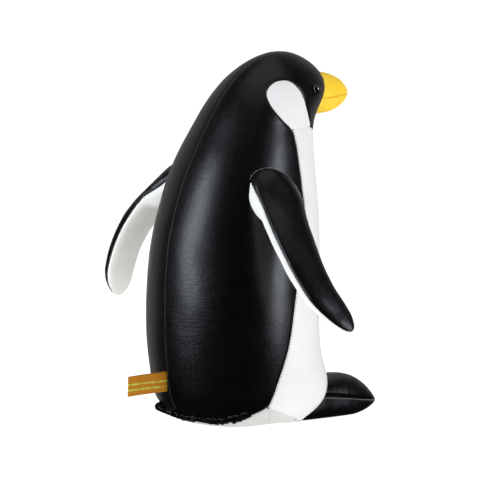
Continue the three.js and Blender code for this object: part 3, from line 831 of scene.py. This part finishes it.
def wing_surface(sign, share, turn, inset=0.0):
    """Points of a whole wing: the share is 0 at its root and 1 at its tip."""
    along, rear, face = wing_axes(sign)
    # The shoulder goes over into the wing's own shape at this distance along it.
    joined = 0.029 - 0.004 * np.sin(turn)
    reach = np.clip((share - SHOULDER_SHARE) / (1 - SHOULDER_SHARE), 0, 1)
    pillow = wing_pillow(sign, joined + (WING_TIP - joined) * np.sin(reach * math.pi / 2), turn, inset)
    u = np.clip(share / SHOULDER_SHARE, 0, 1)[..., None]
    start, end = wing_root(sign, turn, inset), wing_pillow(sign, joined, turn, inset)
    onwards = unit(wing_pillow(sign, joined + 0.001, turn, inset) - end)
    puff = np.maximum(np.sin(turn), 0)[..., None]
    leaving = (0.95 - 0.25 * puff) * along + 0.2 * np.cos(turn)[..., None] * rear + (0.1 + 0.55 * puff) * face
    long = np.linalg.norm(end - start, axis=-1, keepdims=True)
    shoulder = (2 * u**3 - 3 * u**2 + 1) * start + (u**3 - 2 * u**2 + u) * long * leaving
    shoulder += (3 * u**2 - 2 * u**3) * end + (u**3 - u**2) * long * onwards
    return np.where(share[..., None] < SHOULDER_SHARE, shoulder, pillow)


def seam_turn(turns, share):
    """Where a seam is round a wing's section, at a share of the way from its root to its tip."""
    return np.radians(np.interp(share, np.linspace(0, 1, len(turns)), turns))


def across_shoulder(obj):
    """Bakes the transform of a piece that runs from the body into a wing into its mesh."""
    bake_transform(obj)


def wing_cover(side, half, mat):
    """A wing's outer or inner panel, from seam to seam."""
    sign = SIDES[side]
    share, t = np.meshgrid(np.linspace(0, 1, 150), eased(64), indexing="ij")
    rear, front = seam_turn(REAR_SEAMS[side], share), seam_turn(FRONT_SEAM, share)
    turn = rear + (front - rear) * t if half == "outer" else front + (rear + TAU - front) * t
    outward = wing_axes(sign)[2] * (1 if half == "outer" else -1)
    obj = sewn_panel(f"wing_cover_{half}_{side}", wing_surface(sign, share, turn), outward, mat,
                     depth=0.0007, seed=3, relief=0.0004, rooted=True)
    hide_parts(f"wing_{half}_{side}")
    across_shoulder(obj)


def wing_line(side, seam, shift):
    """A line beside a seam of a wing, with the normals there."""
    sign = SIDES[side]
    share = np.linspace(0.02, 0.985, 200)
    turn = seam_turn(seam, share) + shift
    line = wing_surface(sign, share, turn)
    return line, unit(line - wing_surface(sign, share, turn, 0.002))


def wing_stitches(side):
    """Thread beside a wing's two seams, on its black panel."""
    rear, rear_up = wing_line(side, REAR_SEAMS[side], 0.05)
    front, front_up = wing_line(side, FRONT_SEAM, -0.05)
    line, up = np.vstack([rear, front[::-1]]), np.vstack([rear_up, front_up[::-1]])
    sunk = line - up * 0.0004
    thread = stitches(f"wing_stitches_{side}", sunk, up, THREAD_WITH_PAINTED_SHEEN, 0.0011, 0.00016, skew=0.5)
    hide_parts(f"wing_thread_{side}")
    across_shoulder(thread)


def shoulder_stitches(side):
    """Thread along the arch that a wing's black panel is sewn on at."""
    sign = SIDES[side]
    turn = np.radians(np.linspace(26, 154, 80))
    root = wing_root(sign, turn, -0.0009)
    up = body_normals(root)
    thread = stitches(f"shoulder_stitches_{side}", root, up, THREAD_WITH_PAINTED_SHEEN, 0.0017, 0.00016)
    finish_piece(thread, "body")


for side in SIDES:
    wing_cover(side, "outer", BLACK)
    wing_cover(side, "inner", PAINTED_LIGHT_WING_WHITE)
    wing_stitches(side)
    shoulder_stitches(side)


# ---- Feet ----
foot_section = spline(FOOT_SECTIONS)


def foot_points(sign, y, turn):
    """Points of a foot's surface; the turn is 0 and half a turn at its side seams, with the top between."""
    middle, width, low, seam, high = foot_section(y)
    closing = narrowing(y, FOOT_ROUNDING, FOOT_TOE)
    sine, cosine = np.sin(turn), np.cos(turn)
    top = (high - seam) * closing**1.7 * np.abs(sine) ** 0.95
    under = (seam - low) * closing**1.6 * np.abs(sine) ** 0.45
    height = seam + np.where(sine > 0, top, -under)
    roundness = np.where(sine > 0, 0.9, 0.45)
    x = sign * (middle + width * closing * np.sign(cosine) * np.abs(cosine) ** roundness)
    return np.stack([x, y + 0 * turn, height], axis=-1)


def foot_cover(side, half, folds):
    sign = SIDES[side]
    name, root = f"foot_cover_{half}_{side}", FOOT_SECTIONS[-1][0]
    obj = half_cover(name, lambda y, turn: foot_points(sign, y, turn), root, FOOT_TOE, (110, 70), BLACK,
                     depth=0.0009, seed=5 + sign, folds=folds, floor=True)
    finish_piece(obj, "body", f"foot_{half}_{side}")


def foot_stitches(side):
    """Thread just below the seam round a foot."""
    sign = SIDES[side]
    y = -0.03 + (FOOT_TOE + 0.0305) * np.sin(np.linspace(0, math.pi / 2, 120))
    outer, inner = (foot_points(sign, y, np.full(120, turn)) for turn in (-0.008, math.pi + 0.008))
    line = np.vstack([outer, inner[::-1]])
    up = line - [sign * FOOT_MIDDLE, 0, 0.020]
    up[:, 1] = np.minimum(up[:, 1] + 0.078, 0)
    up = unit(up)
    obj = stitches(f"foot_stitches_{side}", line - up * 0.0002, up, THREAD_WITH_PAINTED_SHEEN, 0.0015, 0.0002)
    finish_piece(obj, "body")


for side in SIDES:
    foot_cover(side, "upper", 0.0005)
    foot_cover(side, "sole", 0.0001)
    foot_stitches(side)


# ---- Beak ----
beak_section = spline(BEAK_SECTIONS)


def beak_points(y, turn):
    """Points of the beak's surface; the turn is 0 and half a turn at its side seams, with the top between."""
    middle, width, half, seam = beak_section(y)
    closing = narrowing(y, BEAK_ROUNDING, BEAK_TIP)
    seam_sine = np.clip((seam - middle) / half, -1, 1)
    tilted = turn + np.arcsin(seam_sine) * np.abs(np.cos(turn)) * np.sign(np.cos(turn))
    x = width * closing * np.cos(tilted)
    return np.stack([x, y + 0 * turn, middle + half * closing * np.sin(tilted)], axis=-1)


def beak_cover(half):
    name, root = f"beak_cover_{half}", BEAK_SECTIONS[-1][0]
    obj = half_cover(name, beak_points, root, BEAK_TIP, (90, 60), YELLOW, depth=0.0005, seed=7)
    finish_piece(obj, "body", f"beak_{half}")


def beak_stitches():
    """Thread in the beak's two side seams."""
    y = np.linspace(-0.055, -0.0990, 120)
    for side, sign in SIDES.items():
        line = beak_points(y, np.full(120, 0 if sign > 0 else math.pi))
        up = np.stack([np.full(120, sign), 0 * y, 0 * y], axis=1)
        obj = stitches(f"beak_stitches_{side}", line - up * 0.0005, up, GOLD_THREAD, 0.0020, 0.00022)
        finish_piece(obj, "body")


beak_cover("upper")
beak_cover("lower")
beak_stitches()


# ---- Label ----
LABEL = {"y": 0.0684, "z": 0.0331, "height": 0.0145, "length": 0.0345, "tilt": math.radians(1.3)}
RIBBON = woven("woven_label", (0.38, 0.135, 0.001), (0.70, 0.29, 0.004), 0.00035, 0.55,
               {"heights": (LABEL["z"] + 0.0005, LABEL["z"] - 0.0035), "half": 0.0007,
                "colour": (0.50, 0.55, 0.06)})


def make_label():
    """A woven ribbon folded double, with its two ends in the back seam."""
    long, tall, apart = LABEL["length"], LABEL["height"], 0.0005
    run = np.concatenate([np.linspace(0, 1, 30), [1.012], np.linspace(1, 0, 30)])
    fold = np.concatenate([np.full(30, 1.0), [0.0], np.full(30, -1.0)])
    points = []
    for share, s in zip(run, fold):
        for h in np.linspace(-tall / 2, tall / 2, 18):
            sway = 0.0011 * math.sin(share * 3.4 + h * 70) * share
            local = Vector((s * apart * (0.6 + 0.6 * share) + sway, share * long, h))
            local.rotate(Quaternion((1, 0, 0), -LABEL["tilt"]))
            points.append(local + Vector((0, LABEL["y"], LABEL["z"])))
    obj = new_object("woven_label", points, grid_faces(61, 18, False), RIBBON)
    thicken(obj, 0.0003)
    finish_piece(obj, "back_label", "label")
    obj.visible_glossy = False


make_label()


# ---- Gathered edge round the base ----
def edge_height(angle):
    """Height of the black skin's lower edge, at an angle from the middle of the back."""
    y = body_point(angle, np.full_like(angle, 0.006))[:, 1]
    line = np.array(BASE_EDGE)[::-1]
    return np.interp(y, line[:, 0], line[:, 1])


def make_gathered_edge():
    """The raw edge of the black leatherette, gathered by a drawn thread into shiny crumpled folds."""
    columns, rows, radius = 520, 17, 0.055
    angles = np.linspace(RUFFLE_FROM, RUFFLE_TO, columns)
    arc = (angles - RUFFLE_FROM) * radius
    knot = np.exp(-(((arc - 0.004) / 0.0042) ** 2))
    ends = np.clip(np.minimum(arc / 0.003, (arc[-1] - arc) / 0.012), 0, 1)
    low = np.maximum(edge_height(angles) - 0.0014, 0.0023)
    high = edge_height(angles) + 0.0042 + 0.0052 * knot
    outward = np.stack([-np.sin(angles), np.cos(angles), 0 * angles], axis=1)
    grid = []
    for share in np.linspace(0, 1, rows):
        wide = noise_along(arc, 0.0042, share * 0.8, 4.0)
        folds = noise_along(arc, 0.0021, share * 1.8, 7.0)
        ridge = 1 - 2 * np.abs(noise_along(arc, 0.0014, share * 3.4, 9.0))
        z = high + (low - high) * share
        swell = math.sin(math.pi * min(share * 1.1 + 0.02, 1)) ** 0.6
        bulge = 0.0027 + 0.0034 * knot + 0.0024 * wide + 0.0026 * folds
        reach = -0.0014 + ends * (0.0014 * min(6 * share, 1) + swell * bulge + 0.0010 * ridge * (0.4 + share))
        row = body_point(angles, np.clip(z, 0.001, 1)) + outward * reach[:, None]
        rumple = 0.0012 * wide * share + 0.0008 * folds * share + 0.0004 * ridge
        row[:, 2] = np.maximum(z + ends * rumple, 0.0010)
        grid.append(row)
    obj = new_object("gathered_edge", np.vstack(grid), grid_faces(rows, columns, False), SHINY)
    thicken(obj, 0.0007)
    finish_piece(obj, "body", "base_ruffle")


make_gathered_edge()


# ---- Eyes ----
def make_eye(side):
    """A glossy moulded bead: a low dome inside a raised rim, on a shank."""
    profile = [
        (0, -0.0068), (0.0014, -0.0068), (0.0015, -0.0004), (0.0036, -0.0004), (0.0041, 0.0002),
        (0.0042, 0.0008), (0.0041, 0.0013), (0.0038, 0.0016), (0.0035, 0.0015), (0.0033, 0.0010),
        (0.0031, 0.0014), (0.0027, 0.0023), (0.0021, 0.0030), (0.0014, 0.0035), (0.0007, 0.0037),
        (0, 0.0038),
    ]
    points = [(radius * c, radius * s, height) for radius, height in profile for c, s in circle(48)]
    obj = new_object(f"eye_bead_{side}", points, grid_faces(len(profile), 48, True), EYE)
    cleaned(obj)
    plain = side_points(SIDES[side], [EYE_YZ])
    obj.location = skin(plain)[0]
    obj.rotation_mode = "QUATERNION"
    obj.rotation_quaternion = Vector(eye_facing(plain)).to_track_quat("Z", "Y")
    finish_piece(obj, "body", f"eye_{side}")


def eye_facing(plain):
    """The direction a bead at a point looks in: the sewn skin's outward one, turned a little to the side."""
    step = 0.0025
    y, z = plain[0][1:]
    sign = 1 if plain[0][0] > 0 else -1
    ring = skin(side_points(sign, [(y - step, z - step), (y + step, z - step), (y, z + step)]))
    normal = np.cross(ring[1] - ring[0], ring[2] - ring[0])
    normal *= sign * np.sign(normal[0]) / np.linalg.norm(normal)
    return normal + [0.08 * sign, 0.02, 0]


for side in SIDES:
    make_eye(side)


# ---- Fillings ----
def stuffing(name, rings, lumps=0.0007):
    """A lump of loose fibre that fills a cover, from closed rings of points, for the CAD's filling."""
    points = rings.reshape(-1, 3)
    middle = rings.mean(axis=1, keepdims=True).repeat(rings.shape[1], axis=1).reshape(-1, 3)
    points = points - unit(points - middle) * (lumps * (1 + ripple(points, 0.006, 11)))[:, None]
    rows, columns = rings.shape[:2]
    faces = grid_faces(rows, columns, True)
    faces += [tuple(range(columns))[::-1], tuple((rows - 1) * columns + k for k in range(columns))]
    obj = new_object(name, points, faces, FIBRE)
    cleaned(obj)
    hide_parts(name.replace("stuffing", "filling"))
    return obj


def stuff_all():
    round_turn = np.linspace(0, TAU, 48, endpoint=False)
    walls, dome = np.linspace(0.0032, DOME_START, 60), dome_heights(0.05, math.pi / 2 - 0.12, 18)
    heights = np.concatenate([walls, dome])
    body = body_point(round_turn[None, :], heights[:, None])
    inner = body - 0.0030 * body_normals(body.reshape(-1, 3)).reshape(body.shape)
    inner[..., 2] = np.minimum(inner[..., 2], heights[:, None])
    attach(stuffing("body_stuffing", inner), "body")
    for side, sign in SIDES.items():
        share, turn = np.meshgrid(np.linspace(0.07, 0.9, 60), round_turn, indexing="ij")
        wing = stuffing(f"wing_stuffing_{side}", wing_surface(sign, share, turn, 0.0022))
        across_shoulder(wing)
        y, turn = np.meshgrid(np.linspace(-0.022, -0.0925, 40), round_turn, indexing="ij")
        hub = np.stack([sign * FOOT_MIDDLE + 0 * y, y, 0.0125 + 0 * y], axis=-1)
        foot = hub + (foot_points(sign, y, turn) - hub) * [0.86, 1, 0.82]
        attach(stuffing(f"foot_stuffing_{side}", foot, 0.0005), "body")
    y, turn = np.meshgrid(np.linspace(-0.053, -0.0945, 36), round_turn, indexing="ij")
    hub = np.stack([0 * y, y, BEAK_MIDDLE + 0 * y], axis=-1)
    beak = hub + (beak_points(y, turn) - hub) * [0.82, 1, 0.82]
    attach(stuffing("beak_stuffing", beak, 0.0004), "body")


stuff_all()


# ---- Threads on the body ----
def body_stitches(name, sign, yz, mat, node=None, **sizes):
    line = resampled(np.asarray(yz, float), 0.0008)
    plain = side_points(sign, line)
    obj = stitches(name, skin(plain), body_normals(plain), mat, **sizes)
    finish_piece(obj, "body", node)


def moved_aside(line, distance):
    """A line in the plane, moved to its left by a distance."""
    along = unit(np.gradient(line, axis=0))
    return line + distance * np.stack([-along[:, 1], along[:, 0]], axis=1)


for side, sign in SIDES.items():
    edge = moved_aside(BELLY_LINE, -THREAD_ASIDE)
    node = f"belly_thread_{side}"
    body_stitches(f"belly_stitches_{side}", sign, edge, DARK_THREAD, node, skew=0.6)
    edge = moved_aside(CHEEK_LINE[:60], -THREAD_ASIDE)
    body_stitches(f"cheek_stitches_{side}", sign, edge, DARK_THREAD, skew=0.6)


def centre_stitches():
    """Stitches beside the centre back seam, from the base over the head to the beak."""
    top = BODY_SECTIONS[-1][0]
    walls, dome = np.linspace(0.012, DOME_START, 200), dome_heights(0, math.pi / 2, 80, top)
    back = body_point(np.zeros(280), np.concatenate([walls, dome]))
    front = body_point(np.full(60, math.pi), dome_heights(math.pi / 2, 0.66, 60, top))
    line = np.vstack([back, front[1:]])
    obj = stitches("back_stitches", skin(line), body_normals(line), DARK_THREAD)
    finish_piece(obj, "body", "back_seam_thread")


centre_stitches()

# ---- Inner pieces keep their CAD shapes ----
INNER = {"pellet_bag": BAG, "iron_pellets": IRON, "eye_washer_right": WASHER, "eye_washer_left": WASHER}
for node, mat in INNER.items():
    obj = bpy.data.objects[node]
    obj.data.materials.clear()
    obj.data.materials.append(mat)


# ---- Floor, lights and camera ----
def make_stage(far=15):
    """A pale floor out to the horizon, and a pale wall round it that only the camera sees."""
    mat = speckled("floor", (0.30, 0.30, 0.30), (0.32, 0.32, 0.32), 0.95, 3, 0.0)
    shader = mat.node_tree.nodes["Principled BSDF"]
    shader.inputs["Emission Color"].default_value = (1, 1, 0.97, 1)
    shader.inputs["Emission Strength"].default_value = 1.0
    corners = [(-far, -far, 0), (far, -far, 0), (far, far, 0), (-far, far, 0)]
    floor = new_object("floor", corners, [(0, 1, 2, 3)], mat)
    floor.location.z = -0.0002
    rings = [(x, y, z) for z in (-1, far) for x, y in circle(64, far)]
    wall = new_object("wall", rings, grid_faces(2, 64, True), mat)
    wall.visible_diffuse = wall.visible_shadow = False
    for obj in (floor, wall):
        obj.visible_glossy = False


def toward(azimuth, elevation):
    """A direction, at an angle from +X (the penguin's left) round to +Y (its back) and an angle up."""
    a, e = math.radians(azimuth), math.radians(elevation)
    return Vector((math.cos(a) * math.cos(e), math.sin(a) * math.cos(e), math.sin(e)))


def place(obj, location, away):
    """Puts a light or camera somewhere, with its back turned in a direction."""
    obj.location = location
    obj.rotation_mode = "QUATERNION"
    obj.rotation_quaternion = away.to_track_quat("Z", "Y")


# The point in the penguin that the lights face, and the one that the camera's distance is from.
LIT_POINT, MIDDLE = Vector((0, 0, 0.14)), Vector((0, 0, 0.135))


def softbox(name, azimuth, elevation, distance, width, height, power, colour=(1, 1, 1), reflected=True):
    """A soft rectangular light that faces the penguin from a direction seen from it."""
    lamp = bpy.data.lights.new(name, "AREA")
    lamp.shape, lamp.size, lamp.size_y = "RECTANGLE", width, height
    lamp.energy, lamp.color = power, colour
    obj = add_object(name, lamp)
    obj.visible_camera, obj.visible_glossy = False, reflected
    direction = toward(azimuth, elevation)
    place(obj, LIT_POINT + direction * distance, direction)


def overhead_light():
    """An even light from above, as soft as a ceiling of softboxes."""
    lamp = bpy.data.lights.new("overhead", "SUN")
    lamp.energy, lamp.angle, lamp.color = 1.1, math.radians(100), (1, 0.99, 0.97)
    add_object("overhead", lamp).visible_glossy = False


def make_camera(azimuth=142, elevation=6, distance=2.5):
    """A long lens behind the penguin's right side, a little above it."""
    cam = bpy.data.cameras.new("camera")
    cam.lens, cam.sensor_width, cam.clip_end = 255, 36, 100
    obj = add_object("camera", cam)
    location = MIDDLE + toward(azimuth, elevation) * distance
    aim = Vector((0.0005, 0.0006, 0.1318))
    place(obj, location, location - aim)
    bpy.context.scene.camera = obj


def make_world():
    world = bpy.data.worlds.new("studio")
    world.use_nodes = True
    sky = world.node_tree.nodes["Background"]
    sky.inputs["Color"].default_value = (0.93, 0.95, 1, 1)
    sky.inputs["Strength"].default_value = 0.02
    bpy.context.scene.world = world


make_stage()
make_world()
softbox("left_softbox", 77, 17, 1.6, 0.62, 1.3, 16, (0.84, 0.90, 1))
softbox("right_softbox", 200, 12, 1.6, 0.52, 1.4, 16, (0.86, 0.91, 1))
softbox("top_softbox", 0, 89, 2.6, 2.4, 2.4, 9, (1, 0.96, 0.92))
softbox("backdrop", 322, 10, 1.2, 4.2, 2.0, 8, (1, 0.97, 0.94))
softbox("fill", 165, 2, 2.5, 3.0, 2.0, 8.5, reflected=False)
overhead_light()
make_camera()
bpy.context.scene.view_settings.view_transform = "Standard"
